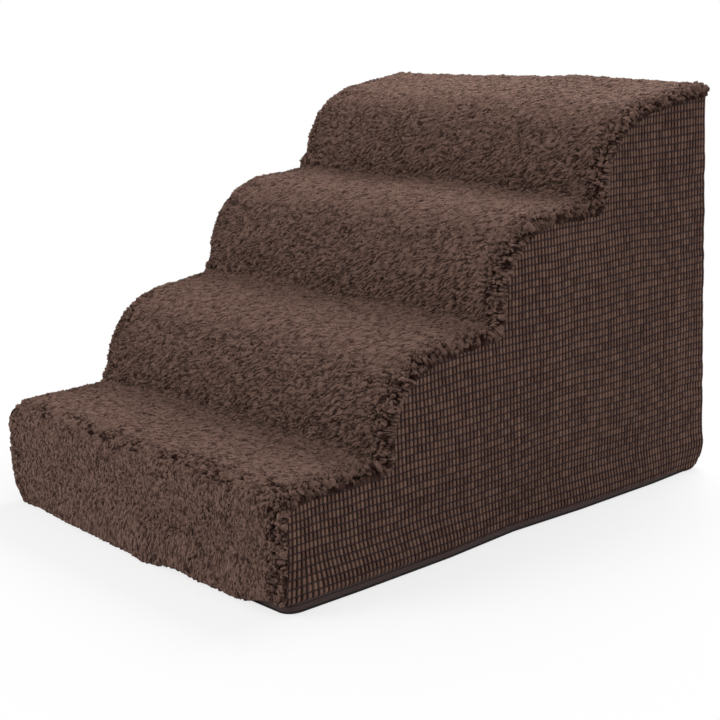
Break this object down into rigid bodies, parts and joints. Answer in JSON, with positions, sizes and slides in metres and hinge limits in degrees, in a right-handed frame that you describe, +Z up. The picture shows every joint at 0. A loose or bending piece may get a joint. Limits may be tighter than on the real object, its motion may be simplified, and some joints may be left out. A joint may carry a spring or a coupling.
{
  "type": "pet stairs",
  "caption": "Foam pet stairs with a curved plush-covered flight and a zip-off cover with waffle-weave sides",
  "frame": {"origin": "on the floor under the middle of the stairs", "axes": "X runs across the steps, the front of the first step faces -Y and the back faces +Y, Z is up"},
  "size_m": [0.445, 0.56, 0.3955],
  "materials": {
    "foam": "open-cell foam",
    "plush": "curly pile",
    "waffle_cloth": "waffle weave",
    "base_cloth": "cloth with rubber dots",
    "zipper_tape": "ribbed tape",
    "zipper_coil": "nylon",
    "stop_metal": "satin",
    "slider_enamel": "gloss enamel"
  },
  "bodies": {
    "stairs": {"foam_core": "foam", "plush_runner": "plush", "right_side_panel": "waffle_cloth", "left_side_panel": "waffle_cloth", "back_panel": "waffle_cloth", "base_panel": "base_cloth", "zipper_tape_upper": "zipper_tape", "zipper_tape_lower": "zipper_tape", "zipper_coil_upper": "zipper_coil", "zipper_coil_lower": "zipper_coil", "zipper_top_stops": "stop_metal", "zipper_bottom_stop": "stop_metal"},
    "slider": {"zipper_slider": "slider_enamel"},
    "pull": {"zipper_pull": "slider_enamel"}
  },
  "joints": [
    {"name": "zipper_slide", "type": "slide", "parent": "stairs", "child": "slider", "axis": [0, -1, 0], "range_m": [0, 0.445], "deforming": ["zipper_tape_upper", "zipper_tape_lower", "zipper_coil_upper", "zipper_coil_lower"]},
    {"name": "pull_swing", "type": "hinge", "parent": "slider", "child": "pull", "pos_m": [-0.2206, 0.2132, 0.00775], "axis": [0, 0, -1], "range_deg": [0, 165]}
  ]
}
